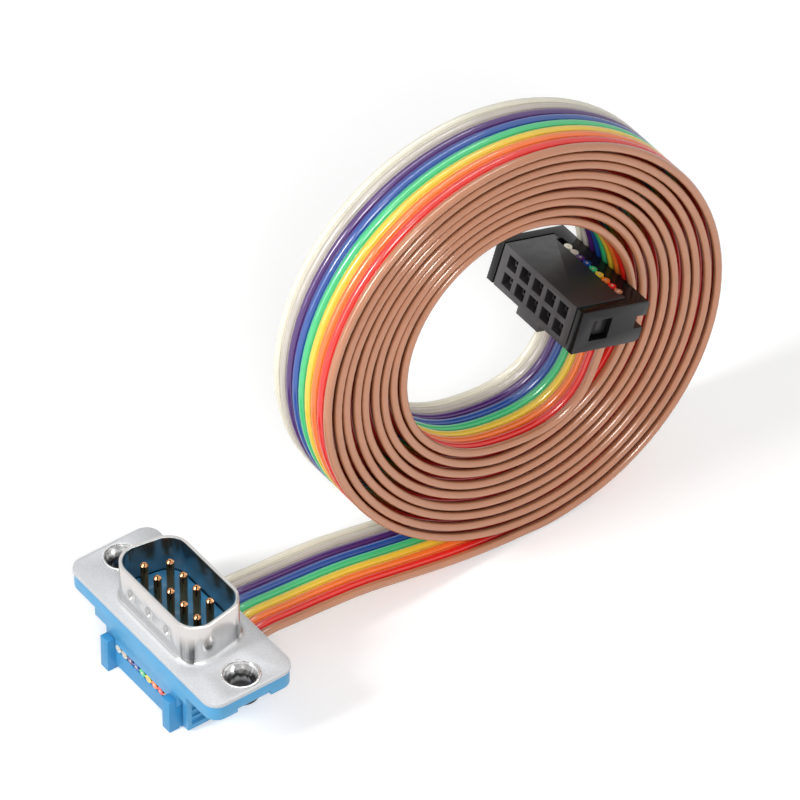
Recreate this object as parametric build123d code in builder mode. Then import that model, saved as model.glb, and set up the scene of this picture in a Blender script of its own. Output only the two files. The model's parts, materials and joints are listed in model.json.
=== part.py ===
from build123d import *
import math
import os

# Serial ribbon cable: a nine-pin D connector lying on its wire cover, a nine-wire flat
# cable wound into an upright roll, and a ten-way socket held in the middle of the roll.
# +X runs along the cable, +Y across it, +Z up. The origin is under the D connector.

os.makedirs("parts", exist_ok=True)

# Flat cable
wire_count = 9
wire_pitch = 1.27
wire_d = 1.0
ribbon_w = (wire_count - 1) * wire_pitch + wire_d

# Roll: an upright spiral of half circles, each from a lowest to a highest point
roll_x = 47.8
roll_h = 61.4
roll_turns = 9
top_step = 1.30
bottom_step = 1.72
flat_spot = 3.0

# D connector, heights above the floor
wire_z = 3.75
clip_top_z = 5.05
belt_z = 6.2
plate_z = 7.45
plate_t = 2.2
flange_t = 0.5
flange_z = plate_z + plate_t
flange_top = flange_z + flange_t

# D connector, metal shell
shroud_l = 16.92
shroud_to_screw = 4.035
screw_to_edge = 2.905
screw_span = shroud_l + 2 * shroud_to_screw
flange_l = screw_span + 2 * screw_to_edge
flange_w = 12.5
flange_r = 2.0
shroud_w = 8.36
shroud_angle = 10.0
shroud_r = 2.6
shroud_wall = 0.45
shroud_h = 5.9
shroud_root_r = 0.8
dimple_pitch = 3.75
dimple_r = 1.1
dimple_depth = 0.4
dimple_count = 3

# D connector, screw holes and their eyelets
screw_bore = 3.05
eyelet_wall = 0.5
eyelet_rim_d = 4.85
eyelet_proud = 0.15
eyelet_dish = 1.3
eyelet_lip_t = 1.0
eyelet_lip_d = 4.6

# D connector, blue housing
seam = 0.05
plate_inset = 0.15
ear_notch_w = 4.9
ear_notch_h = 0.8
ear_notch_d = 0.45
belt_gap = 0.595
belt_l = screw_span - eyelet_lip_d - 2 * belt_gap
body_step = 0.2
body_w = flange_w - 2 * plate_inset - 2 * body_step
body_l = 17.2
nose_h = 0.6
nose_gap = 0.1
end_wall_t = 1.15
end_wall_w = 10.4
end_wall_z = 0.4
rail_w = 0.6
ladder_depth = 0.5
ladder_rungs = 4
rung_h = 0.35
rung_proud = 0.3
ladder_base = 0.7

# D connector, blue wire cover
cover_end_gap = 0.2
cover_l = body_l - 2 * end_wall_t - 2 * cover_end_gap
cover_edge = 0.7
clip_w = 1.5
clip_out = 1.1
clip_overlap = 0.4
clip_gap = 0.05

# D connector, contacts
pin_d = 1.0
pin_tip = 0.25
pin_pitch = 2.77
pin_row_gap = 2.84
pin_above_flange = 5.2
blade_top_z = 8.1
blade_z = 4.85
blade_t = 0.35
fork_slot = 0.32
tine_w = 0.40
tine_reach = 0.75
pocket_gap = 0.02

# Socket: centre, tilt from the level, and size. Depths are counted from its mating face.
socket_x = 58.74
socket_y = wire_pitch / 2
socket_z = 31.33
socket_tilt = 18.0
socket_l = 17.2
socket_w = 6.0
socket_d = 10.8
split_depth = 7.9
cavity_pitch = 2.54
cavity_columns = 5
cavity_rows = 2
cavity_mouth = 1.75
cavity_mouth_depth = 1.3
cavity_size = 1.25
cavity_depth = 5.8
key_w = 4.3
key_h = 1.0
key_depth = 6.4
arm_t = 1.15
arm_slot = 0.25
window_h = 3.0
window_start = 2.2
window_d = 3.0
ramp_h = 0.6
ramp_w = 2.4
ramp_d = 1.6
back_edge = 0.4
notch_w = 1.8
notch_d = 1.1

# Socket, contacts
leaf_t = 0.3
leaf_gap = 0.46
leaf_tip_depth = 1.7
strip_t = 0.35
neck_depth = 5.0
neck_d = 1.2

# The cable's route, as (x, z) points along the middle of the ribbon
tail_points = [
    (8.1, 3.95),
    (10.1, 5.7),
    (13.0, 6.15),
    (18.0, 5.8),
    (24.2, 5.1),
    (30.4, 3.9),
    (35.6, 2.0),
    (40.4, wire_d / 2),
]
arc_share = 0.45

# The same for the stretch from the roll to the socket, counted from the roll's inner end
lead_steps = [(2.1, 0.0), (6.0, 1.0), (9.2, 3.6)]
lead_straight = 3.8


def bottom_of(turn):
    return wire_d / 2 + bottom_step * turn


def top_of(turn):
    return roll_h - wire_d / 2 - top_step * turn


def corner_radii(name, points):
    """The radius of each corner's arc, as large as its two runs allow."""
    radii = []
    for before, corner, after in zip(points, points[1:], points[2:]):
        run_in = math.dist(before, corner)
        run_out = math.dist(corner, after)
        heading_in = math.atan2(corner[1] - before[1], corner[0] - before[0])
        heading_out = math.atan2(after[1] - corner[1], after[0] - corner[0])
        turn = abs(math.remainder(heading_out - heading_in, math.tau))
        radii.append(arc_share * min(run_in, run_out) / math.tan(turn / 2))
    print(name, "radii", [round(radius, 1) for radius in radii])
    return radii


def cable_section(ways, growth=0.0):
    """The outline of flat cable of that many wires, or of the slot it lies in."""
    with BuildSketch() as section:
        Rectangle((ways - 1) * wire_pitch + wire_d + 2 * growth, wire_d + 2 * growth)
    return section.sketch


def d_outline(growth=0.0):
    """The D outline inside the shroud, wide side towards -X."""
    narrowing = shroud_w * math.tan(math.radians(shroud_angle))
    with BuildSketch() as outline:
        with BuildLine():
            Polyline(
                (-shroud_w / 2, shroud_l / 2),
                (-shroud_w / 2, -shroud_l / 2),
                (shroud_w / 2, narrowing - shroud_l / 2),
                (shroud_w / 2, shroud_l / 2 - narrowing),
                close=True,
            )
        make_face()
        fillet(outline.vertices(), radius=shroud_r)
        if growth:
            offset(amount=growth)
    return outline.sketch


def wire_y(wire):
    return (wire - (wire_count - 1) / 2) * wire_pitch


# Places of the D connector's contacts: two rows of pins, wires taken in turn
pin_places = []
for wire in range(wire_count):
    row_side = -1 if wire % 2 == 0 else 1
    pin_y = (wire - (wire_count - 1) / 2) * pin_pitch / 2
    pin_places.append((row_side * pin_row_gap / 2, pin_y, wire_y(wire)))

screw_places = [(0, -screw_span / 2), (0, screw_span / 2)]
blade_w = fork_slot + 2 * tine_w
tine_bottom_z = wire_z - tine_reach
eyelet_barrel_r = screw_bore / 2 + eyelet_wall
cover_half_w = body_w / 2

# Metal shell: flange, D shroud and three grip dimples
with BuildPart() as d_shell:
    with BuildSketch(Plane.XY.offset(flange_z)):
        RectangleRounded(flange_w, flange_l, flange_r)
        add(d_outline(), mode=Mode.SUBTRACT)
    extrude(amount=flange_t)
    with BuildSketch(Plane.XY.offset(flange_z)):
        add(d_outline(shroud_wall))
        add(d_outline(), mode=Mode.SUBTRACT)
    extrude(amount=flange_t + shroud_h)
    reach_x = shroud_w / 2 + shroud_wall + pocket_gap
    reach_y = shroud_l / 2 + shroud_wall + pocket_gap
    shroud_root = (
        d_shell.edges()
        .filter_by_position(Axis.Z, flange_top - pocket_gap, flange_top + pocket_gap)
        .filter_by_position(Axis.X, -reach_x, reach_x)
        .filter_by_position(Axis.Y, -reach_y, reach_y)
    )
    fillet(shroud_root, radius=shroud_root_r)
    with BuildSketch(Plane.XY.offset(flange_z)):
        with Locations(*screw_places):
            Circle(eyelet_rim_d / 2 + pocket_gap)
    extrude(amount=flange_t, mode=Mode.SUBTRACT)
    dimple_x = -shroud_w / 2 - shroud_wall - dimple_r + dimple_depth
    with Locations((dimple_x, 0, flange_top + shroud_h / 2)):
        with GridLocations(0, dimple_pitch, 1, dimple_count):
            Sphere(dimple_r, rotation=(0, 0, 90), mode=Mode.SUBTRACT)
d_shell.part.label = "d_shell"

# Screw eyelets: dished at the top, rolled over below the plate
rim_r = eyelet_rim_d / 2
cone_z = flange_top - eyelet_dish
for side, (x, y) in zip(("near", "far"), screw_places):
    with BuildPart() as eyelet:
        with BuildSketch(Plane.XZ.offset(-y)):
            with BuildLine():
                Polyline(
                    (screw_bore / 2, cone_z),
                    (rim_r - eyelet_wall / 2, flange_top + eyelet_proud),
                    (rim_r, flange_top + eyelet_proud),
                    (rim_r, flange_z),
                    (eyelet_barrel_r, flange_z),
                    (eyelet_barrel_r, plate_z),
                    (eyelet_lip_d / 2, plate_z),
                    (eyelet_lip_d / 2, plate_z - eyelet_lip_t),
                    (screw_bore / 2, plate_z - eyelet_lip_t),
                    close=True,
                )
            make_face()
        revolve(axis=Axis((0, y, 0), (0, 0, 1)))
    eyelet.part.label = f"d_eyelet_{side}"
    export_step(eyelet.part, f"parts/d_eyelet_{side}.step")

# Blue housing: ear plate, belt, wire block and ribbed end walls
with BuildPart() as d_housing:
    with BuildSketch(Plane.XY.offset(plate_z)):
        RectangleRounded(
            flange_w - 2 * plate_inset, flange_l - 2 * plate_inset, flange_r - plate_inset
        )
    extrude(amount=plate_t)
    with BuildSketch(Plane.XY.offset(plate_z)):
        with GridLocations(0, flange_l - 2 * plate_inset, 1, 2):
            Rectangle(ear_notch_w, 2 * ear_notch_d)
    extrude(amount=ear_notch_h, mode=Mode.SUBTRACT)
    with BuildSketch(Plane.XY.offset(belt_z)):
        Rectangle(flange_w - 2 * plate_inset, belt_l)
    extrude(amount=plate_z - belt_z)
    with BuildSketch(Plane.XY.offset(wire_z + seam)):
        Rectangle(body_w, cover_l)
    extrude(amount=belt_z - wire_z - seam)
    with BuildSketch(Plane.XY.offset(flange_z)):
        add(d_outline(-nose_gap))
    extrude(amount=flange_t + nose_h)
    for end in (-1, 1):
        wall_y = end * (body_l - end_wall_t) / 2
        ladder_z = end_wall_z + ladder_base
        ladder_h = belt_z - ladder_z
        panel_w = (end_wall_w - 3 * rail_w) / 2 - rail_w
        panel_x = rail_w / 2 + rail_w + panel_w / 2
        with BuildSketch(Plane.XY.offset(end_wall_z)):
            with Locations((0, wall_y)):
                Rectangle(end_wall_w, end_wall_t)
        extrude(amount=belt_z - end_wall_z)
        with Locations((0, end * (body_l - ladder_depth) / 2, ladder_z + ladder_h / 2)):
            with GridLocations(2 * panel_x, 0, 2, 1):
                Box(panel_w, ladder_depth, ladder_h, mode=Mode.SUBTRACT)
        rung_y = end * (body_l / 2 - ladder_depth + rung_proud / 2)
        rung_step = ladder_h / (ladder_rungs + 0.5)
        for rung in range(ladder_rungs):
            with Locations((0, rung_y, ladder_z + (rung + 0.75) * rung_step)):
                with GridLocations(2 * panel_x, 0, 2, 1):
                    Box(panel_w, rung_proud, rung_h)
    with BuildSketch(Plane.XY.offset(plate_z)):
        with Locations(*screw_places):
            Circle(eyelet_barrel_r + pocket_gap)
    extrude(amount=plate_t, mode=Mode.SUBTRACT)
    with BuildSketch(Plane.YZ.offset(-body_w)):
        with Locations((0, wire_z)):
            add(cable_section(wire_count, pocket_gap))
    extrude(amount=2 * body_w, mode=Mode.SUBTRACT)
    for pin_x, pin_y, fork_y in pin_places:
        with BuildSketch(Plane.XY.offset(blade_top_z)):
            with Locations((pin_x, pin_y)):
                Circle(pin_d / 2 + pocket_gap)
        extrude(amount=flange_top + nose_h - blade_top_z, mode=Mode.SUBTRACT)
        with BuildSketch(Plane.XY.offset(wire_z)):
            with Locations((pin_x, fork_y)):
                Rectangle(blade_t + 2 * pocket_gap, blade_w + 2 * pocket_gap)
        extrude(amount=blade_top_z - wire_z + pocket_gap, mode=Mode.SUBTRACT)
d_housing.part.label = "d_housing"

# Blue wire cover: a bar under the wires with a clip at each corner
clip_y = cover_l / 2 - clip_w / 2
clip_in_x = cover_half_w + clip_gap
clip_out_x = cover_half_w + clip_out
with BuildPart() as d_cover:
    with BuildSketch(Plane.YZ.offset(-cover_half_w)):
        with Locations((0, (wire_z - seam) / 2)):
            Rectangle(cover_l, wire_z - seam)
    extrude(amount=2 * cover_half_w)
    lower_edges = d_cover.edges().filter_by(Axis.Y).group_by(Axis.Z)[0]
    chamfer(lower_edges, length=cover_edge)
    for side in (-1, 1):
        with BuildSketch(Plane.XY):
            with Locations((side * (clip_out_x - (clip_out + clip_overlap) / 2), 0)):
                with GridLocations(0, 2 * clip_y, 1, 2):
                    Rectangle(clip_out + clip_overlap, clip_w)
        extrude(amount=wire_z - seam)
        with BuildSketch(Plane.XY.offset(wire_z - seam)):
            with Locations((side * (clip_in_x + clip_out_x) / 2, 0)):
                with GridLocations(0, 2 * clip_y, 1, 2):
                    Rectangle(clip_out_x - clip_in_x, clip_w)
        extrude(amount=clip_top_z - wire_z + seam)
    with BuildSketch(Plane.YZ.offset(-body_w)):
        with Locations((0, wire_z)):
            add(cable_section(wire_count, pocket_gap))
    extrude(amount=2 * body_w, mode=Mode.SUBTRACT)
    for pin_x, pin_y, fork_y in pin_places:
        with BuildSketch(Plane.XY.offset(tine_bottom_z - pocket_gap)):
            with Locations((pin_x, fork_y)):
                Rectangle(blade_t + 2 * pocket_gap, blade_w + 2 * pocket_gap)
        extrude(amount=wire_z - tine_bottom_z + pocket_gap, mode=Mode.SUBTRACT)
d_cover.part.label = "d_cover"

# D connector contacts: round pin above, forked blade through the wire below
for wire, (pin_x, pin_y, fork_y) in enumerate(pin_places):
    with BuildPart() as contact:
        with BuildSketch(Plane.XY.offset(blade_top_z)):
            with Locations((pin_x, pin_y)):
                Circle(pin_d / 2)
        extrude(amount=flange_top + pin_above_flange - blade_top_z)
        tip_edge = contact.edges().group_by(Axis.Z)[-1]
        chamfer(tip_edge, length=pin_tip)
        with BuildSketch(Plane.XY.offset(blade_z)):
            with Locations((pin_x, fork_y)):
                Rectangle(blade_t, blade_w)
        extrude(amount=blade_top_z - blade_z)
        with BuildSketch(Plane.XY.offset(tine_bottom_z)):
            with Locations((pin_x, fork_y)):
                with GridLocations(0, fork_slot + tine_w, 1, 2):
                    Rectangle(blade_t, tine_w)
        extrude(amount=blade_z - tine_bottom_z)
    contact.part.label = f"d_contact_{wire + 1}"
    export_step(contact.part, f"parts/d_contact_{wire + 1}.step")

# Socket frames. Mating direction: out of the face. Upward: along the wires inside it.
tilt = math.radians(socket_tilt)
mating = Vector(-math.cos(tilt), 0, math.sin(tilt))
upward = Vector(math.sin(tilt), 0, math.cos(tilt))
socket_centre = Vector(socket_x, socket_y, socket_z)
face_centre = socket_centre + mating * (socket_d / 2)
socket_face = Plane(origin=face_centre, x_dir=(0, -1, 0), z_dir=mating)
ribbon_entry = face_centre - mating * split_depth - upward * (socket_w / 2)
row_section = Plane(origin=ribbon_entry, x_dir=(0, -1, 0), z_dir=upward)
lead_entry = (ribbon_entry.X, ribbon_entry.Z)
way_count = cavity_columns * cavity_rows
socket_body_l = socket_l - 2 * (arm_t + arm_slot)


def contact_plane(row):
    """Lies along the wires' cross-section at one row of contacts: x to -Y, y deeper in."""
    height = (row - (cavity_rows - 1) / 2) * cavity_pitch - strip_t / 2
    return Plane(origin=face_centre + upward * height, x_dir=(0, -1, 0), z_dir=upward)


def fork_shift(row):
    """Each column's two contacts take the two wires beside its middle."""
    return (row - (cavity_rows - 1) / 2) * wire_pitch


# Socket body: contact block with a polarising key and a catch on each end
with BuildPart() as socket_body:
    with BuildSketch(socket_face):
        Rectangle(socket_body_l, socket_w)
    extrude(amount=-(split_depth - seam))
    with BuildSketch(socket_face):
        with Locations((0, -socket_w / 2 - key_h / 2)):
            Rectangle(key_w, key_h)
    extrude(amount=-key_depth)
    with BuildSketch(socket_face.offset(-window_start - window_d + ramp_d)):
        Rectangle(socket_body_l + 2 * ramp_h, ramp_w)
    extrude(amount=-ramp_d)
    with BuildSketch(socket_face):
        with GridLocations(cavity_pitch, cavity_pitch, cavity_columns, cavity_rows):
            Rectangle(cavity_mouth, cavity_mouth)
    extrude(amount=-cavity_mouth_depth, mode=Mode.SUBTRACT)
    with BuildSketch(socket_face):
        with GridLocations(cavity_pitch, cavity_pitch, cavity_columns, cavity_rows):
            Rectangle(cavity_size, cavity_size)
    extrude(amount=-cavity_depth, mode=Mode.SUBTRACT)
    with BuildSketch(row_section):
        add(cable_section(way_count, pocket_gap))
    extrude(amount=socket_w, mode=Mode.SUBTRACT)
    for row in range(cavity_rows):
        shift = fork_shift(row)
        neck_w = blade_w + abs(shift) + 2 * pocket_gap
        for depth_from, depth_to, centre, width in (
            (neck_depth - pocket_gap, neck_depth + neck_d + pocket_gap, shift / 2, neck_w),
            (neck_depth + neck_d, split_depth, shift, blade_w + 2 * pocket_gap),
        ):
            with BuildSketch(contact_plane(row).offset(-pocket_gap)):
                with Locations((centre, (depth_from + depth_to) / 2)):
                    with GridLocations(cavity_pitch, 0, cavity_columns, 1):
                        Rectangle(width, depth_to - depth_from)
            extrude(amount=strip_t + 2 * pocket_gap, mode=Mode.SUBTRACT)
socket_body.part.label = "socket_body"

# Socket cover: a bar behind the wires whose two arms run forward over the body's ends
with BuildPart() as socket_cover:
    with BuildSketch(socket_face.offset(-split_depth - seam)):
        Rectangle(socket_l, socket_w)
    extrude(amount=-(socket_d - split_depth - seam))
    back_edges = socket_cover.edges().filter_by(Axis.Y).group_by(Axis((0, 0, 0), mating))[0]
    chamfer(back_edges, length=back_edge)
    with BuildSketch(socket_face):
        with GridLocations(socket_l - arm_t, 0, 2, 1):
            Rectangle(arm_t, socket_w)
    extrude(amount=-(split_depth + seam))
    with BuildSketch(socket_face.offset(-window_start)):
        Rectangle(2 * socket_l, window_h)
    extrude(amount=-window_d, mode=Mode.SUBTRACT)
    notch_origin = face_centre - upward * (notch_w / 2)
    with BuildSketch(Plane(origin=notch_origin, x_dir=(0, -1, 0), z_dir=upward)):
        with Locations((-socket_l / 2, socket_d), (socket_l / 2, socket_d)):
            Rectangle(2 * notch_d, 2 * notch_d, rotation=45)
    extrude(amount=notch_w, mode=Mode.SUBTRACT)
    with BuildSketch(row_section):
        add(cable_section(way_count, pocket_gap))
    extrude(amount=socket_w, mode=Mode.SUBTRACT)
    for row in range(cavity_rows):
        with BuildSketch(contact_plane(row).offset(-pocket_gap)):
            with Locations((fork_shift(row), split_depth + (tine_reach + pocket_gap) / 2)):
                with GridLocations(cavity_pitch, 0, cavity_columns, 1):
                    Rectangle(blade_w + 2 * pocket_gap, tine_reach + pocket_gap)
        extrude(amount=strip_t + 2 * pocket_gap, mode=Mode.SUBTRACT)
socket_cover.part.label = "socket_cover"

# Socket contacts: two spring leaves forward, a neck, and a fork through the wire
column_places = [(column - (cavity_columns - 1) / 2) * cavity_pitch for column in range(cavity_columns)]
for row in range(cavity_rows):
    shift = fork_shift(row)
    for column, column_x in enumerate(column_places):
        with BuildPart() as contact:
            with BuildSketch(contact_plane(row)):
                with Locations((column_x, (leaf_tip_depth + neck_depth) / 2)):
                    with GridLocations(leaf_gap + leaf_t, 0, 2, 1):
                        Rectangle(leaf_t, neck_depth - leaf_tip_depth)
                with Locations((column_x + shift / 2, neck_depth + neck_d / 2)):
                    Rectangle(blade_w + abs(shift), neck_d)
                fork_front = neck_depth + neck_d
                fork_back = split_depth + tine_reach
                with Locations((column_x + shift, (fork_front + fork_back) / 2)):
                    with GridLocations(fork_slot + tine_w, 0, 2, 1):
                        Rectangle(tine_w, fork_back - fork_front)
            extrude(amount=strip_t)
        name = f"socket_contact_{row + 1}_{column + 1}"
        contact.part.label = name
        export_step(contact.part, f"parts/{name}.step")

# Ribbon, first stretch: through the D connector, over a low hump, down to the floor
tail_start = (cover_half_w, wire_z)
roll_start = (roll_x - flat_spot, bottom_of(0))
tail_route = [tail_start, *tail_points, roll_start]
with BuildPart() as ribbon_tail:
    with BuildSketch(Plane.YZ.offset(-cover_half_w)):
        with Locations((0, wire_z)):
            add(cable_section(wire_count))
    extrude(amount=2 * cover_half_w)
    for pin_x, pin_y, fork_y in pin_places:
        with BuildSketch(Plane.XY.offset(wire_z - wire_d)):
            with Locations((pin_x, fork_y)):
                with GridLocations(0, fork_slot + tine_w, 1, 2):
                    Rectangle(blade_t + 2 * pocket_gap, tine_w + 2 * pocket_gap)
        extrude(amount=2 * wire_d, mode=Mode.SUBTRACT)
    with BuildSketch(Plane.XZ):
        with BuildLine() as tail_line:
            FilletPolyline(*tail_route, radius=corner_radii("tail", tail_route))
        trace(line_width=wire_d)
    extrude(amount=ribbon_w / 2, both=True)
ribbon_tail.part.label = "ribbon_tail"

# Ribbon, roll: the band winds inwards in half circles, with a short flat spot on the floor
with BuildPart() as ribbon_coil:
    with BuildSketch(Plane.XZ):
        with BuildLine():
            for face_side in (-wire_d / 2, wire_d / 2):
                outer_z = bottom_of(0) - face_side
                Line((roll_x - flat_spot, outer_z), (roll_x, outer_z))
                for turn in range(roll_turns):
                    rise_r = (top_of(turn) - bottom_of(turn)) / 2
                    fall_r = (top_of(turn) - bottom_of(turn + 1)) / 2
                    rise_z = bottom_of(turn) + rise_r
                    fall_z = bottom_of(turn + 1) + fall_r
                    CenterArc((roll_x, rise_z), rise_r + face_side, -90, 180)
                    CenterArc((roll_x, fall_z), fall_r + face_side, 90, 180)
            start_z = bottom_of(0)
            end_z = bottom_of(roll_turns)
            for x, z in ((roll_x - flat_spot, start_z), (roll_x, end_z)):
                Line((x, z - wire_d / 2), (x, z + wire_d / 2))
        make_face()
    extrude(amount=ribbon_w / 2, both=True)
ribbon_coil.part.label = "ribbon_coil"

# Ribbon, last stretch: leaves the roll's inside and runs up through the socket
lead_z = bottom_of(roll_turns)
lead_end = (
    lead_entry[0] - lead_straight * upward.X,
    lead_entry[1] - lead_straight * upward.Z,
)
lead_points = [(roll_x + step_x, lead_z + step_z) for step_x, step_z in lead_steps]
lead_route = [(roll_x, lead_z), *lead_points, lead_end, lead_entry]
with BuildPart() as ribbon_lead:
    with BuildSketch(Plane(origin=(ribbon_entry.X, 0, ribbon_entry.Z), x_dir=(0, -1, 0), z_dir=upward)):
        add(cable_section(wire_count))
    extrude(amount=socket_w)
    for row in range(cavity_rows):
        with BuildSketch(contact_plane(row).offset(-pocket_gap)):
            with Locations((fork_shift(row), split_depth)):
                with GridLocations(cavity_pitch, 0, cavity_columns, 1):
                    with GridLocations(fork_slot + tine_w, 0, 2, 1):
                        Rectangle(tine_w + 2 * pocket_gap, 2 * wire_d)
        extrude(amount=strip_t + 2 * pocket_gap, mode=Mode.SUBTRACT)
    with BuildSketch(Plane.XZ):
        with BuildLine():
            FilletPolyline(*lead_route, radius=corner_radii("lead", lead_route))
        trace(line_width=wire_d)
    extrude(amount=ribbon_w / 2, both=True)
ribbon_lead.part.label = "ribbon_lead"

for piece in (d_shell, d_housing, d_cover, socket_body, socket_cover):
    export_step(piece.part, f"parts/{piece.part.label}.step")
for piece in (ribbon_tail, ribbon_coil, ribbon_lead):
    export_step(piece.part, f"parts/{piece.part.label}.step")

roll_length = flat_spot + sum(
    math.pi * (top_of(turn) - (bottom_of(turn) + bottom_of(turn + 1)) / 2) for turn in range(roll_turns)
)
print("length of cable in the roll", round(roll_length))
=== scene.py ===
import json
import math

import bmesh
import bpy
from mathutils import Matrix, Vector

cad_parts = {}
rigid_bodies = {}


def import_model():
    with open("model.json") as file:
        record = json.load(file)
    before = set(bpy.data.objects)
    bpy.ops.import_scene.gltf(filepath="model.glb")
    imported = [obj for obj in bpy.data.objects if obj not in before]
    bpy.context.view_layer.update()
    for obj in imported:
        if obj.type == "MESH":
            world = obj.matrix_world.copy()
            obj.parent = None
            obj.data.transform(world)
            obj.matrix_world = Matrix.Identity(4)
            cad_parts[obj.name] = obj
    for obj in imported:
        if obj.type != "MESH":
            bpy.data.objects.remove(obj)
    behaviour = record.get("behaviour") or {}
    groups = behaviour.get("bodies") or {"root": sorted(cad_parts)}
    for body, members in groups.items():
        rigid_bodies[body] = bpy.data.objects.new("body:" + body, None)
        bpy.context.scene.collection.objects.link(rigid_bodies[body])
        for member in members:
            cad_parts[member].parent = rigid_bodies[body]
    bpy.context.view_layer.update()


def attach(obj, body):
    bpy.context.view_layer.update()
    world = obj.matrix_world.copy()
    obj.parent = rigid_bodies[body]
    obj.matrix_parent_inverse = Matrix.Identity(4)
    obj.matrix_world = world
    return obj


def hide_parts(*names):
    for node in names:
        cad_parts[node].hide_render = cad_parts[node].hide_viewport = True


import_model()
print("frame loaded")


def colour(red, green, blue):
    # A colour as on a colour picker, 0 to 255
    values = [channel / 255 for channel in (red, green, blue)]
    linear = [v / 12.92 if v <= 0.04045 else ((v + 0.055) / 1.055) ** 2.4 for v in values]
    return (*linear, 1.0)


def shade(base, factor):
    return (*[min(1.0, channel * factor) for channel in base[:3]], 1.0)


def pick(piece):
    bpy.ops.object.select_all(action="DESELECT")
    piece.select_set(True)
    bpy.context.view_layer.objects.active = piece


class Finish:
    # A material with one shader, built up a node at a time

    def __init__(self, name):
        self.material = bpy.data.materials.new(name)
        self.material.use_nodes = True
        self.nodes = self.material.node_tree.nodes
        self.links = self.material.node_tree.links
        self.shader = self.nodes["Principled BSDF"]
        self.place = self.nodes.new("ShaderNodeTexCoord").outputs["Object"]

    def feed(self, socket, value):
        # Links another node's output, or sets a plain value
        if isinstance(value, bpy.types.NodeSocket):
            self.links.new(value, socket)
        else:
            socket.default_value = value

    def join(self, value, socket):
        self.feed(self.shader.inputs[socket], value)

    def noise(self, scale, detail=3.0, stretch=(1, 1, 1)):
        mapping = self.nodes.new("ShaderNodeMapping")
        mapping.inputs["Scale"].default_value = stretch
        texture = self.nodes.new("ShaderNodeTexNoise")
        texture.inputs["Scale"].default_value = scale
        texture.inputs["Detail"].default_value = detail
        self.links.new(self.place, mapping.inputs["Vector"])
        self.links.new(mapping.outputs["Vector"], texture.inputs["Vector"])
        return texture.outputs["Fac"]

    def spread(self, value, low, high, fromLow=0.3, fromHigh=0.7):
        # Most of a noise lies between 0.3 and 0.7
        ranged = self.nodes.new("ShaderNodeMapRange")
        ranged.inputs["From Min"].default_value = fromLow
        ranged.inputs["From Max"].default_value = fromHigh
        ranged.inputs["To Min"].default_value = low
        ranged.inputs["To Max"].default_value = high
        self.links.new(value, ranged.inputs["Value"])
        return ranged.outputs["Result"]

    def blend(self, factor, first, second, kind="MIX"):
        mix = self.nodes.new("ShaderNodeMix")
        mix.data_type = "RGBA"
        mix.blend_type = kind
        for socket, value in (("Factor", factor), ("A", first), ("B", second)):
            self.feed(mix.inputs[socket], value)
        return mix.outputs["Result"]

    def multiply(self, first, second):
        return self.blend(1.0, first, second, "MULTIPLY")

    def math(self, operation, *values):
        node = self.nodes.new("ShaderNodeMath")
        node.operation = operation
        for socket, value in zip(node.inputs, values):
            self.feed(socket, value)
        return node.outputs[0]

    def along(self, direction, what="Object"):
        # How far a point, or its normal, goes along a direction
        source = self.nodes.new("ShaderNodeTexCoord").outputs[what]
        dot = self.nodes.new("ShaderNodeVectorMath")
        dot.operation = "DOT_PRODUCT"
        dot.inputs[1].default_value = direction
        self.links.new(source, dot.inputs[0])
        return dot.outputs["Value"]

    def ramp(self, value, stops):
        ramp = self.nodes.new("ShaderNodeValToRGB")
        elements = ramp.color_ramp.elements
        while len(elements) < len(stops):
            elements.new(0.5)
        for element, (place, level) in zip(elements, stops):
            element.position = place
            element.color = (level, level, level, 1.0) if isinstance(level, float) else level
        self.links.new(value, ramp.inputs["Fac"])
        return ramp.outputs["Color"]

    def openness(self, reach, samples):
        # 0 deep in a gap, 1 out in the open
        node = self.nodes.new("ShaderNodeAmbientOcclusion")
        node.samples = samples
        node.inputs["Distance"].default_value = reach
        return node.outputs["AO"]

    def mottled(self, base, scale, shades, detail=4.0):
        # A colour that wanders between a darker and a lighter shade
        cloud = self.spread(self.noise(scale, detail), 0, 1)
        return self.blend(cloud, shade(base, shades[0]), shade(base, shades[1]))

    def roughen(self, scale, roughness, detail=3.0):
        self.join(self.spread(self.noise(scale, detail), *roughness), "Roughness")

    def grain(self, scale, strength, depth=0.00002, detail=2.0):
        bump = self.nodes.new("ShaderNodeBump")
        bump.inputs["Strength"].default_value = strength
        bump.inputs["Distance"].default_value = depth
        self.links.new(self.noise(scale, detail), bump.inputs["Height"])
        self.join(bump.outputs["Normal"], "Normal")


# Places on the two connectors that finishes and shapes share
connectors = {
    "flangeTop": 0.01015,
    "rimTop": 0.01025,
    "screwReach": 0.0125,
    "socketNearFace": -0.0079,
    "socketUp": (0.309017, 0.0, 0.951057),
}

# Soft glossy insulation on the wires
wireLook = {
    "mottle": 320,
    "shades": (0.96, 1.03),
    "polish": 700,
    "grooveShadeReach": 0.0022,
    "grooveShadeSamples": 6,
    "grooveShadeStops": ((0.0, 0.22), (0.22, 0.38), (0.54, 1.0)),
    "roughness": (0.13, 0.19),
    "grain": 420,
    "bump": 0.05,
    "bumpDepth": 0.00003,
    "specular": 0.95,
}


def makeWireFinish(name, base):
    finish = Finish(name)
    body = finish.mottled(base, wireLook["mottle"], wireLook["shades"], detail=2.0)
    # Painted shade: the grooves between the turns, where neighbours close in, are darkened and deepened in
    # colour
    gapShade = finish.openness(wireLook["grooveShadeReach"], wireLook["grooveShadeSamples"])
    finish.join(finish.multiply(body, finish.ramp(gapShade, wireLook["grooveShadeStops"])), "Base Color")
    finish.roughen(wireLook["polish"], wireLook["roughness"], detail=2.0)
    finish.grain(wireLook["grain"], wireLook["bump"], wireLook["bumpDepth"])
    finish.join(wireLook["specular"], "Specular IOR Level")
    return finish.material


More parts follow.
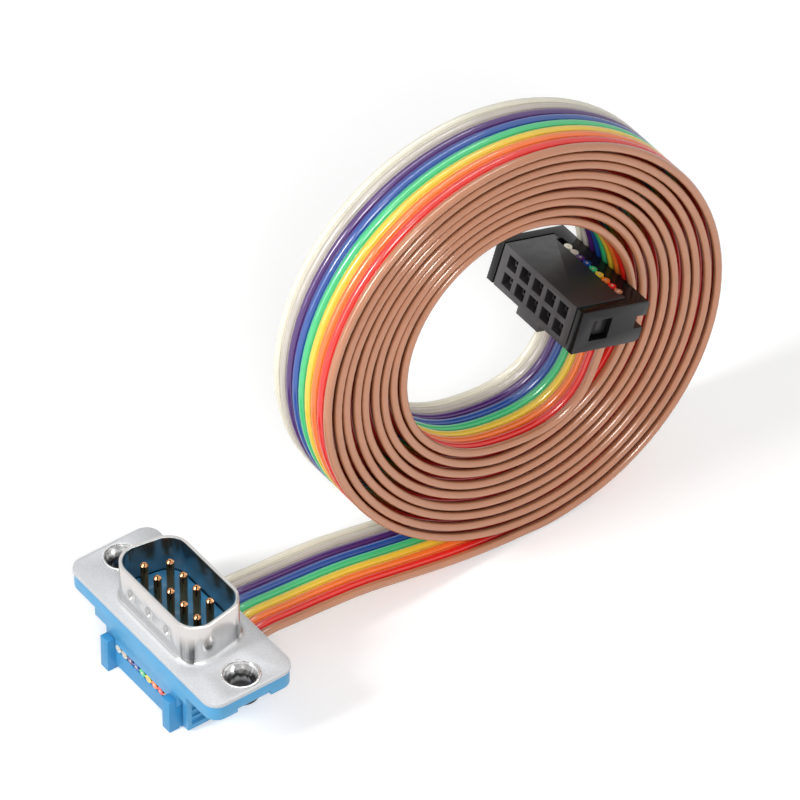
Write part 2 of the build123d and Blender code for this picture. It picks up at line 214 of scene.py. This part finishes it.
mouldingLook = {
    "mottle": 260,
    "shades": (0.95, 1.04),
    "polish": 700,
}
metalLook = {
    "mottle": 420,
    "shades": (0.90, 1.05),
    "polish": 1100,
}


def makeMouldingFinish(name, base, roughness, grain, bump, specular=0.5):
    finish = Finish(name)
    finish.join(finish.mottled(base, mouldingLook["mottle"], mouldingLook["shades"]), "Base Color")
    finish.roughen(mouldingLook["polish"], roughness)
    finish.grain(grain, bump)
    finish.join(specular, "Specular IOR Level")
    return finish.material


def makeMetalFinish(name, base, roughness, grain, bump):
    finish = Finish(name)
    finish.join(1.0, "Metallic")
    finish.join(finish.mottled(base, metalLook["mottle"], metalLook["shades"]), "Base Color")
    finish.roughen(metalLook["polish"], roughness)
    finish.grain(grain, bump)
    return finish.material


# Blue insulator, with painted shade darkening the floor down inside the shroud
housingLook = {
    "wellFloor": 0.0098,
    "wellShade": (0.42, 0.60, 0.66, 1.0),
    "roughness": (0.34, 0.46),
    "grain": 5200,
    "bump": 0.08,
}


def makeHousingFinish(name, base):
    finish = Finish(name)
    body = finish.mottled(base, mouldingLook["mottle"], mouldingLook["shades"])
    # Painted shade on the well floor inside the shroud
    inWell = finish.math("GREATER_THAN", finish.along((0, 0, 1)), housingLook["wellFloor"])
    shadeTone = finish.ramp(inWell, ((0.0, 1.0), (1.0, housingLook["wellShade"])))
    finish.join(finish.multiply(body, shadeTone), "Base Color")
    finish.roughen(mouldingLook["polish"], housingLook["roughness"])
    finish.grain(housingLook["grain"], housingLook["bump"])
    return finish.material


# Matt grey flange under a bright drawn shroud, with painted reflections: darker bands round the shroud's near
# corner and a teal-grey painted tone on its inner walls
shellLook = {
    "rootStart": 0.00004,
    "rootEnd": 0.00022,
    "flangeShades": (colour(190, 192, 195), colour(206, 208, 211)),
    "flangeMottle": 5200,
    "flangeMetallic": 0.22,
    "flangeRoughness": 0.55,
    "shroudMetallic": 1.0,
    "shroudRoughness": 0.20,
    "inside": colour(165, 174, 177),
    "insideFade": (-0.0006, -0.0001),
    "rimTone": (0.66, 0.63, 0.61, 1.0),
    "bandsFade": (0.0044, 0.0022),
    "reflectionStreaks": 1700,
    "streakStretch": (1.0, 1.0, 0.04),
    "streakWander": 0.07,
    "reflectionBands": (
        (0.0, 0.60), (0.03, 0.50), (0.06, 0.18), (0.085, 0.44), (0.11, 0.32), (0.135, 0.10), (0.16, 0.60),
        (0.20, 0.78), (0.25, 0.66), (0.29, 0.74), (0.325, 0.28), (0.36, 0.60), (0.99, 0.62),
    ),
    "grain": 4600,
    "bump": 0.05,
}


def shroudReflections(finish, height):
    # Painted reflections: streaks up the wall, placed by the way it faces, that fade into an even tone at the
    # rim
    turn = finish.math("ARCTAN2", finish.along((0, 1, 0), "Normal"), finish.along((1, 0, 0), "Normal"))
    reflectionStreaks = finish.noise(shellLook["reflectionStreaks"], stretch=shellLook["streakStretch"])
    wander = finish.math("MULTIPLY", finish.math("SUBTRACT", reflectionStreaks, 0.5), shellLook["streakWander"])
    around = finish.math("ADD", finish.math("DIVIDE", turn, math.tau), 0.5)
    reflectionBands = finish.ramp(finish.math("ADD", around, wander), shellLook["reflectionBands"])
    fadeFrom, fadeTo = [connectors["flangeTop"] + reach for reach in shellLook["bandsFade"]]
    return finish.blend(finish.spread(height, 0, 1, fadeFrom, fadeTo), shellLook["rimTone"], reflectionBands)


def facingInwards(finish):
    # 1 on walls whose normal points at the connector's middle
    alongX = finish.math("MULTIPLY", finish.along((1, 0, 0), "Normal"), finish.along((1, 0, 0)))
    halfY = finish.math("MULTIPLY", finish.along((0, 1, 0)), 0.5)
    alongY = finish.math("MULTIPLY", finish.along((0, 1, 0), "Normal"), halfY)
    return finish.spread(finish.math("ADD", alongX, alongY), 1, 0, *shellLook["insideFade"])


def makeShellFinish(name):
    finish = Finish(name)
    height = finish.along((0, 0, 1))
    rootStart, rootEnd = [connectors["flangeTop"] + shellLook[key] for key in ("rootStart", "rootEnd")]
    onShroud = finish.spread(height, 0, 1, rootStart, rootEnd)
    mottle = finish.spread(finish.noise(shellLook["flangeMottle"]), 0, 1)
    flange = finish.blend(mottle, *shellLook["flangeShades"])
    # Inner walls take a painted reflection tone in place of the painted streaks
    walls = finish.blend(facingInwards(finish), shroudReflections(finish, height), shellLook["inside"])
    finish.join(finish.blend(onShroud, flange, walls), "Base Color")
    for socket in ("Metallic", "Roughness"):
        levels = [shellLook[place + socket] for place in ("flange", "shroud")]
        finish.join(finish.spread(onShroud, *levels, 0, 1), socket)
    finish.grain(shellLook["grain"], shellLook["bump"], detail=3.0)
    return finish.material


# Painted reflections and shade on an eyelet: a bright ring for its rolled rim, then painted rings that darken
# down its dish, and painted shade deeper down the bore
eyeletLook = {
    "outerRadius": 0.0025,
    "rings": (
        (0.0, 0.05), (0.60, 0.08), (0.62, 0.80), (0.66, 0.32), (0.72, 0.66), (0.79, 0.46),
        (0.83, 0.66), (0.87, 0.18), (0.91, 0.74), (1.0, 0.80),
    ),
    "darkBelow": 0.0028,
    "brightAbove": 0.0014,
    "polish": 900,
    "roughness": (0.22, 0.30),
}


def makeEyeletFinish(name):
    finish = Finish(name)
    finish.join(1.0, "Metallic")
    absolute = finish.math("ABSOLUTE", finish.along((0, 1, 0)))
    sideways = finish.math("POWER", finish.math("SUBTRACT", absolute, connectors["screwReach"]), 2.0)
    endways = finish.math("POWER", finish.along((1, 0, 0)), 2.0)
    reach = finish.math("SQRT", finish.math("ADD", sideways, endways))
    # Painted reflection rings, by distance from the eyelet's axis
    rings = finish.ramp(finish.math("MULTIPLY", reach, 1 / eyeletLook["outerRadius"]), eyeletLook["rings"])
    dark, bright = [connectors["rimTop"] - eyeletLook[key] for key in ("darkBelow", "brightAbove")]
    # Painted shade: darker further down the bore
    depth = finish.spread(finish.along((0, 0, 1)), 0, 1, dark, bright)
    finish.join(finish.multiply(rings, finish.ramp(depth, ((0.0, 0.06), (1.0, 1.0)))), "Base Color")
    finish.roughen(eyeletLook["polish"], eyeletLook["roughness"])
    return finish.material


# Dark grey socket moulding, with a painted dark reflection that makes its top blacker, and painted shade in
# the deep recesses behind its near face
socketLook = {
    "mottle": 300,
    "shades": (0.90, 1.08),
    "topFrom": 0.85,
    "topShade": 0.35,
    "nearFrom": -0.5,
    "skin": 0.0003,
    "recessShade": 0.22,
    "polish": 800,
    "roughness": (0.36, 0.50),
    "grain": 4200,
    "bump": 0.20,
}


def makeSocketFinish(name, base):
    finish = Finish(name)
    body = finish.mottled(base, socketLook["mottle"], socketLook["shades"])
    upward = finish.along(connectors["socketUp"], "Normal")
    # Painted dark reflection on the faces turned to the top
    onTop = finish.math("GREATER_THAN", upward, socketLook["topFrom"])
    body = finish.multiply(body, finish.ramp(onTop, ((0.0, 1.0), (1.0, socketLook["topShade"]))))
    # Painted shade on near-facing faces inside the recesses
    facing = finish.math("LESS_THAN", finish.along((0, 1, 0), "Normal"), socketLook["nearFrom"])
    recessStart = connectors["socketNearFace"] + socketLook["skin"]
    behind = finish.math("GREATER_THAN", finish.along((0, 1, 0)), recessStart)
    recess = finish.math("MULTIPLY", facing, behind)
    body = finish.multiply(body, finish.ramp(recess, ((0.0, 1.0), (1.0, socketLook["recessShade"]))))
    finish.join(body, "Base Color")
    finish.roughen(socketLook["polish"], socketLook["roughness"])
    finish.grain(socketLook["grain"], socketLook["bump"])
    return finish.material


wireColours = {
    "brown": (196, 130, 92),
    "red": (238, 40, 30),
    "orange": (255, 125, 45),
    "yellow": (246, 211, 60),
    "green": (66, 205, 132),
    "blue": (34, 82, 166),
    "violet": (80, 36, 115),
    "grey": (207, 198, 186),
    "white": (242, 237, 218),
}
wireNames = list(wireColours)
wireFinishes = {name: makeWireFinish(name + "Wire", colour(*wireColours[name])) for name in wireNames}
blueFinish = makeMouldingFinish("blueMoulding", colour(56, 146, 198), (0.34, 0.46), 5200, 0.08)
blackFinish = makeMouldingFinish("blackMoulding", colour(14, 13, 14), (0.14, 0.24), 3600, 0.06, specular=0.3)
housingFinish = makeHousingFinish("blueHousing", colour(80, 162, 210))
greyFinish = makeSocketFinish("darkGreyMoulding", colour(72, 69, 71))
shellFinish = makeShellFinish("platedSteel")
eyeletFinish = makeEyeletFinish("brightNickel")
goldFinish = makeMetalFinish("goldPlate", colour(206, 150, 104), (0.14, 0.26), 4200, 0.06)
# Painted shade for the inside of the pins' seams
seamShadeFinish = makeMetalFinish("pinSeam", colour(40, 30, 24), (0.40, 0.55), 4200, 0.06)
springFinish = makeMetalFinish("springStrip", colour(214, 178, 118), (0.24, 0.38), 5200, 0.10)
copperFinish = makeMetalFinish("tinnedStrand", colour(224, 206, 190), (0.26, 0.42), 9000, 0.10)
print("materials made")


# Flat cable: nine wires, bonded side by side, on one route
cable = {
    "pitch": 0.00127,
    "wireRadius": 0.00054,
    "webHalf": 0.00014,
    "webReach": 0.000633,
    "arcSteps": 12,
    "cutEnd": -0.0059,
    "exit": 0.0059,
    "rowHeight": 0.00375,
    "samples": 4,
}
roll = {
    "outerX": 0.0483,
    "drift": -0.00014,
    "foot": 0.00082,
    "height": 0.0612,
    "turns": 9,
    "topStep": 0.00130,
    "bottomStep": 0.00172,
    "pointsPerTurn": 24,
    "oval": 0.054,
    "ovalFade": 0.0028,
    "ovalAngle": math.radians(135),
    "lean": 0.031,
    "slack": 0.00006,
    "slackTurns": 2,
    "slackShift": 2.7,
    "slackWaves": 3,
}
socketPlace = {
    "entry": (0.060191, 0.0, 0.027704),
    "straight": 0.0038,
    "height": 0.0060,
}


def besideMiddle(index):
    # How far a wire lies from the ribbon's middle line
    return (index - (len(wireNames) - 1) / 2) * cable["pitch"]


def rollPoints():
    # Half circles that shrink inwards, drawn out along one diagonal and leaning back a little
    step = math.tau / roll["pointsPerTurn"]
    perHalf = roll["pointsPerTurn"] // 2
    points = []
    for turn in range(roll["turns"]):
        bottom = roll["foot"] + roll["bottomStep"] * turn
        top = roll["height"] - roll["foot"] - roll["topStep"] * turn
        nextBottom = bottom + roll["bottomStep"]
        for half, (start, lower) in enumerate(((-math.pi / 2, bottom), (math.pi / 2, nextBottom))):
            radius = (top - lower) / 2
            middle = (top + lower) / 2
            for index in range(perHalf):
                angle = start + (index + 0.5) * step
                progress = turn + half / 2 + index / perHalf / 2
                centreX = roll["outerX"] + roll["drift"] * progress
                oval = roll["oval"] - roll["ovalFade"] * progress
                oval *= math.cos(2 * (angle - roll["ovalAngle"]))
                wave = math.sin(roll["slackShift"] * turn + roll["slackWaves"] * angle)
                slack = roll["slack"] * min(progress, roll["slackTurns"]) * wave
                reach = radius / math.cos(step / 2) * (1 + oval) + slack
                height = middle + reach * math.sin(angle)
                points.append((centreX + reach * math.cos(angle), roll["lean"] * height, height))
    return points


def routePoints():
    # The route of the ribbon's middle, in metres
    row = cable["rowHeight"]
    points = [
        (cable["cutEnd"], 0, row), (0.0050, 0, row), (0.0068, 0, row), (0.0076, 0, 0.0058),
        (0.0096, 0, 0.0062), (0.0136, 0, 0.0058), (0.0180, 0, 0.00545), (0.0234, 0, 0.0049),
        (0.0286, 0, 0.0038), (0.0336, 0, 0.0027), (0.0386, 0, 0.00175), (0.0436, 0, 0.0011),
        (0.0482, 0, 0.0008),
    ]
    points += rollPoints()
    points += [(0.0499, 0.0004, 0.0160), (0.0538, 0.0001, 0.0170), (0.0570, 0, 0.0196)]
    for run in (-socketPlace["straight"], 0.0, socketPlace["height"]):
        points.append([start + way * run for start, way in zip(socketPlace["entry"], connectors["socketUp"])])
    return points


def routeLine(points):
    # The points of a smooth spline through the route
    curve = bpy.data.curves.new("cableRoute", "CURVE")
    curve.dimensions = "3D"
    curve.resolution_u = cable["samples"]
    spline = curve.splines.new("NURBS")
    spline.points.add(len(points) - 1)
    for place, point in zip(spline.points, points):
        place.co = (*point, 1.0)
    spline.order_u = 3
    spline.use_endpoint_u = True
    holder = bpy.data.objects.new("cableRoute", curve)
    bpy.context.scene.collection.objects.link(holder)
    bpy.context.view_layer.update()
    mesh = bpy.data.meshes.new_from_object(holder)
    line = [Vector(vertex.co) for vertex in mesh.vertices]
    bpy.data.objects.remove(holder)
    bpy.data.curves.remove(curve)
    bpy.data.meshes.remove(mesh)
    return line


def wireOutline(hasLeft, hasRight):
    # One wire's section: a round wire with half a web on each side that has a neighbour
    radius = cable["wireRadius"]
    web = cable["webHalf"]
    reach = cable["webReach"]
    edge = math.asin(web / radius)
    outline = []
    for side, hasWeb, start in ((1, hasRight, -edge), (-1, hasLeft, math.pi - edge)):
        if hasWeb:
            outline += [(side * reach, -side * web), (side * reach, side * web)]
        else:
            outline += [(radius * math.cos(start + part * edge), radius * math.sin(start + part * edge))
                        for part in (0.5, 1.0, 1.5)]
        sweepStart = edge if side == 1 else math.pi + edge
        sweep = math.pi - 2 * edge
        for index in range(cable["arcSteps"] + 1):
            angle = sweepStart + sweep * index / cable["arcSteps"]
            outline.append((radius * math.cos(angle), radius * math.sin(angle)))
    return outline


def sweepWire(name, line, across, outline, material):
    mesh = bpy.data.meshes.new(name)
    shape = bmesh.new()
    rings = []
    for index, place in enumerate(line):
        before = line[max(index - 1, 0)]
        after = line[min(index + 1, len(line) - 1)]
        heading = (after - before).normalized()
        outward = Vector((-heading.z, 0.0, heading.x))
        centre = place + Vector((0.0, across, 0.0))
        rings.append([shape.verts.new(centre + Vector((0.0, -u, 0.0)) + outward * v) for u, v in outline])
    count = len(outline)
    for first, second in zip(rings, rings[1:]):
        for index in range(count):
            follow = (index + 1) % count
            shape.faces.new((first[index], first[follow], second[follow], second[index]))
    shape.faces.new(list(reversed(rings[0])))
    shape.faces.new(rings[-1])
    bmesh.ops.recalc_face_normals(shape, faces=shape.faces)
    shape.to_mesh(mesh)
    shape.free()
    mesh.materials.append(material)
    wire = bpy.data.objects.new(name, mesh)
    bpy.context.scene.collection.objects.link(wire)
    pick(wire)
    bpy.ops.object.shade_smooth_by_angle(angle=math.radians(30))
    return wire


line = routeLine(routePoints())
for index, wireName in enumerate(wireNames):
    across = besideMiddle(index)
    outline = wireOutline(hasLeft=index < len(wireNames) - 1, hasRight=index > 0)
    wire = sweepWire(wireName + "Wire", line, across, outline, wireFinishes[wireName])
    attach(wire, "root")
    if index == 0:
        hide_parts("ribbon_tail", "ribbon_coil", "ribbon_lead")
print("wires made")


# Bare strands at the cut ends
strands = {
    "strandRadius": 0.000066,
    "ringRadius": 0.000132,
    "length": 0.00030,
    "proud": 0.00004,
    "around": 6,
    "sides": 12,
    "softness": 0.35,
}


def makeStrand():
    bpy.ops.object.select_all(action="DESELECT")
    bpy.ops.mesh.primitive_cylinder_add(
        vertices=strands["sides"],
        radius=strands["strandRadius"],
        depth=strands["length"],
        location=(0, 0, 0),
    )
    strand = bpy.context.object
    bpy.ops.object.mode_set(mode="EDIT")
    bpy.ops.mesh.select_all(action="SELECT")
    bpy.ops.mesh.bevel(offset=strands["strandRadius"] * strands["softness"], segments=1, affect="EDGES")
    bpy.ops.object.mode_set(mode="OBJECT")
    return strand


def strandBundle(name, end, heading):
    # One strand with six round it in each wire, ending a hair proud of the insulation
    first = makeStrand()
    turn = Vector((0, 0, 1)).rotation_difference(heading)
    centre = end + heading * (strands["proud"] - strands["length"] / 2)
    places = [Vector((0, 0, 0))]
    for index in range(strands["around"]):
        angle = math.tau * index / strands["around"]
        places.append(Vector((math.cos(angle), math.sin(angle), 0)) * strands["ringRadius"])
    copies = []
    for index in range(len(wireNames)):
        across = besideMiddle(index)
        for offset in places:
            strand = bpy.data.objects.new(name + "Part", first.data.copy())
            bpy.context.scene.collection.objects.link(strand)
            strand.rotation_mode = "QUATERNION"
            strand.rotation_quaternion = turn
            strand.location = centre + turn @ offset + Vector((0, across, 0))
            copies.append(strand)
    bpy.data.objects.remove(first)
    bpy.ops.object.select_all(action="DESELECT")
    for strand in copies:
        strand.select_set(True)
    bpy.context.view_layer.objects.active = copies[0]
    bpy.ops.object.join()
    bundle = bpy.context.object
    bundle.name = name
    bpy.ops.object.transform_apply(location=True, rotation=True, scale=True)
    bundle.data.materials.clear()
    bundle.data.materials.append(copperFinish)
    bpy.ops.object.shade_smooth_by_angle(angle=math.radians(30))
    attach(bundle, "root")


strandBundle("tailStrands", line[0], (line[0] - line[1]).normalized())
strandBundle("leadStrands", line[-1], (line[-1] - line[-2]).normalized())
print("strands made")


# Connector pieces with softened edges, in place of the plain ones
edges = {
    "sharpAngle": math.radians(32),
    "flatAngle": math.radians(0.8),
    "mergeWithin": 0.000001,
}
eyeletLip = {
    "barrelReach": 0.0017,
    "earUnderside": 0.0071,
}
pinSeam = {
    "domeTop": 0.00002,
    "front": (-0.59, -0.81, 0.0),
    "forward": 0.00026,
    "down": 0.0006,
    "size": (0.00060, 0.00015, 0.0014),
}


def dressNode(node, name, material, softness, segments=2):
    pick(bpy.data.objects[node])
    bpy.ops.object.duplicate()
    piece = bpy.context.view_layer.objects.active
    piece.name = name
    piece.data.materials.clear()
    piece.data.materials.append(material)
    bpy.ops.object.mode_set(mode="EDIT")
    bpy.ops.mesh.select_all(action="SELECT")
    bpy.ops.mesh.remove_doubles(threshold=edges["mergeWithin"])
    bpy.ops.mesh.dissolve_limited(angle_limit=edges["flatAngle"])
    bpy.ops.object.mode_set(mode="OBJECT")
    bevel = piece.modifiers.new("softEdges", "BEVEL")
    bevel.limit_method = "ANGLE"
    bevel.angle_limit = edges["sharpAngle"]
    bevel.width = softness
    bevel.segments = segments
    bpy.ops.object.modifier_apply(modifier="softEdges")
    bpy.ops.object.shade_smooth_by_angle(angle=edges["sharpAngle"])
    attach(piece, "root")
    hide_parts(node)
    return piece


def trimLip(eyelet):
    # The rolled lip under the plate ends in a cone above the ear's underside
    for point in eyelet.data.vertices:
        sideways = abs(point.co.y) - connectors["screwReach"]
        if math.hypot(point.co.x, sideways) > eyeletLip["barrelReach"]:
            point.co.z = max(point.co.z, eyeletLip["earUnderside"])


def cutSeam(pin):
    # The seam of a rolled pin, in the front half of its domed tip; its cut faces get a painted dark shade
    top = max(point.co.z for point in pin.data.vertices)
    tip = [point.co for point in pin.data.vertices if point.co.z > top - pinSeam["domeTop"]]
    centre = sum(tip, Vector()) / len(tip)
    front = Vector(pinSeam["front"]).normalized()
    place = centre + front * pinSeam["forward"] - Vector((0, 0, pinSeam["down"]))
    bpy.ops.object.select_all(action="DESELECT")
    bpy.ops.mesh.primitive_cube_add(size=1, location=place)
    cutter = bpy.context.object
    cutter.scale = pinSeam["size"]
    cutter.rotation_euler = (0, 0, math.atan2(front.y, front.x))
    cutter.data.materials.append(seamShadeFinish)
    pick(pin)
    cut = pin.modifiers.new("seam", "BOOLEAN")
    cut.object = cutter
    cut.operation = "DIFFERENCE"
    cut.solver = "EXACT"
    cut.material_mode = "TRANSFER"
    bpy.ops.object.modifier_apply(modifier="seam")
    bpy.data.objects.remove(cutter)


dressNode("d_shell", "metalShell", shellFinish, 0.00006)
for side in ("near", "far"):
    trimLip(dressNode(f"d_eyelet_{side}", side + "Eyelet", eyeletFinish, 0.00006))
dressNode("d_housing", "blueHousing", housingFinish, 0.00008)
dressNode("d_cover", "blueWireCover", blueFinish, 0.00010)
for number in range(1, 10):
    pin = dressNode(f"d_contact_{number}", f"pin{number}", goldFinish, 0.00012, segments=3)
    cutSeam(pin)
dressNode("socket_body", "socketBlock", greyFinish, 0.00006)
dressNode("socket_cover", "socketCover", blackFinish, 0.00008)
for row in (1, 2):
    for column in range(1, 6):
        strip = bpy.data.objects[f"socket_contact_{row}_{column}"]
        strip.data.materials.clear()
        strip.data.materials.append(springFinish)
print("connectors dressed")


# Floor, sky and lamps
studio = {
    "floorSize": 3.0,
    "floorDrop": -0.00005,
    "floorWhite": 0.86,
    "floorGlow": 0.36,
    "skyStrength": 0.38,
}
middle = (0.033, 0.0, 0.02)
lamps = {
    "keyLamp": {"place": (-0.72, 0.11, 0.56), "aim": middle, "size": (0.16, 0.30), "power": 4.3},
    "frontLamp": {"place": (-0.30, -0.62, 0.62), "aim": middle, "size": (0.26, 0.26), "power": 3.5},
}
# Softboxes that only show in reflections, for the fine white lines along the wires
glints = {
    "glintTop": {"place": (0.10, 0.16, 0.90), "aim": (0.10, 0.02, 0.0), "size": (1.0, 0.10), "power": 4.5},
    "glintLeft": {"place": (-0.85, 0.13, 0.42), "aim": middle, "size": (0.14, 0.75), "power": 3.6},
}


def seenDirectly(nodes, links):
    # 1 for camera, glossy and transmission rays
    path = nodes.new("ShaderNodeLightPath")
    total = path.outputs["Is Camera Ray"]
    for ray in ("Is Glossy Ray", "Is Transmission Ray"):
        larger = nodes.new("ShaderNodeMath")
        larger.operation = "MAXIMUM"
        links.new(total, larger.inputs[0])
        links.new(path.outputs[ray], larger.inputs[1])
        total = larger.outputs[0]
    return total


def makeFloorFinish():
    # Matt white that takes shadows, with a glow that only the eye and reflections see
    material = bpy.data.materials.new("paleFloor")
    material.use_nodes = True
    nodes = material.node_tree.nodes
    links = material.node_tree.links
    nodes.clear()
    matt = nodes.new("ShaderNodeBsdfDiffuse")
    matt.inputs["Color"].default_value = (studio["floorWhite"],) * 3 + (1.0,)
    glow = nodes.new("ShaderNodeEmission")
    both = nodes.new("ShaderNodeAddShader")
    result = nodes.new("ShaderNodeOutputMaterial")
    scaled = nodes.new("ShaderNodeMath")
    scaled.operation = "MULTIPLY"
    scaled.inputs[1].default_value = studio["floorGlow"]
    links.new(seenDirectly(nodes, links), scaled.inputs[0])
    links.new(scaled.outputs[0], glow.inputs["Strength"])
    links.new(matt.outputs[0], both.inputs[0])
    links.new(glow.outputs[0], both.inputs[1])
    links.new(both.outputs[0], result.inputs["Surface"])
    return material


def makeSky():
    # White where it is seen, and dimmer as a light
    world = bpy.data.worlds.new("studioWorld")
    bpy.context.scene.world = world
    world.use_nodes = True
    nodes = world.node_tree.nodes
    links = world.node_tree.links
    backdrop = nodes["Background"]
    backdrop.inputs["Color"].default_value = (1, 1, 1, 1)
    level = nodes.new("ShaderNodeMapRange")
    level.inputs["To Min"].default_value = studio["skyStrength"]
    level.inputs["To Max"].default_value = 1.0
    links.new(seenDirectly(nodes, links), level.inputs["Value"])
    links.new(level.outputs["Result"], backdrop.inputs["Strength"])


def addLamp(name, place, aim, size, power):
    lamp = bpy.data.lights.new(name, "AREA")
    lamp.shape = "RECTANGLE"
    lamp.size, lamp.size_y = size
    lamp.energy = power
    holder = bpy.data.objects.new(name, lamp)
    holder.location = place
    holder.rotation_euler = (Vector(aim) - Vector(place)).to_track_quat("-Z", "Y").to_euler()
    bpy.context.scene.collection.objects.link(holder)
    return holder


bpy.ops.object.select_all(action="DESELECT")
bpy.ops.mesh.primitive_plane_add(size=studio["floorSize"], location=(0, 0, studio["floorDrop"]))
floor = bpy.context.object
floor.name = "floor"
floor.data.materials.append(makeFloorFinish())
makeSky()
for name, lamp in lamps.items():
    addLamp(name, **lamp)
for name, glint in glints.items():
    softbox = addLamp(name, **glint)
    softbox.visible_diffuse = False
    softbox.visible_camera = False
print("studio lit")


# Camera, turned left of square-on and looking down
view = {
    "azimuth": -36.23,
    "elevation": 43.18,
    "distance": 1.0,
    "field": 0.09685,
    "target": (0.03279, 0.0, 0.02761),
    "sensor": 36.0,
    "nearest": 0.05,
    "furthest": 20.0,
}
azimuth = math.radians(view["azimuth"])
elevation = math.radians(view["elevation"])
back = Vector((
    math.sin(azimuth) * math.cos(elevation),
    -math.cos(azimuth) * math.cos(elevation),
    math.sin(elevation),
))
target = Vector(view["target"])
camera = bpy.data.objects.new("camera", bpy.data.cameras.new("camera"))
camera.data.sensor_width = view["sensor"]
camera.data.lens = view["sensor"] * view["distance"] / view["field"]
camera.data.clip_start = view["nearest"]
camera.data.clip_end = view["furthest"]
camera.location = target + back * view["distance"]
camera.rotation_euler = (-back).to_track_quat("-Z", "Y").to_euler()
bpy.context.scene.collection.objects.link(camera)
bpy.context.scene.camera = camera
bpy.context.scene.view_settings.view_transform = "Standard"
print("camera set")
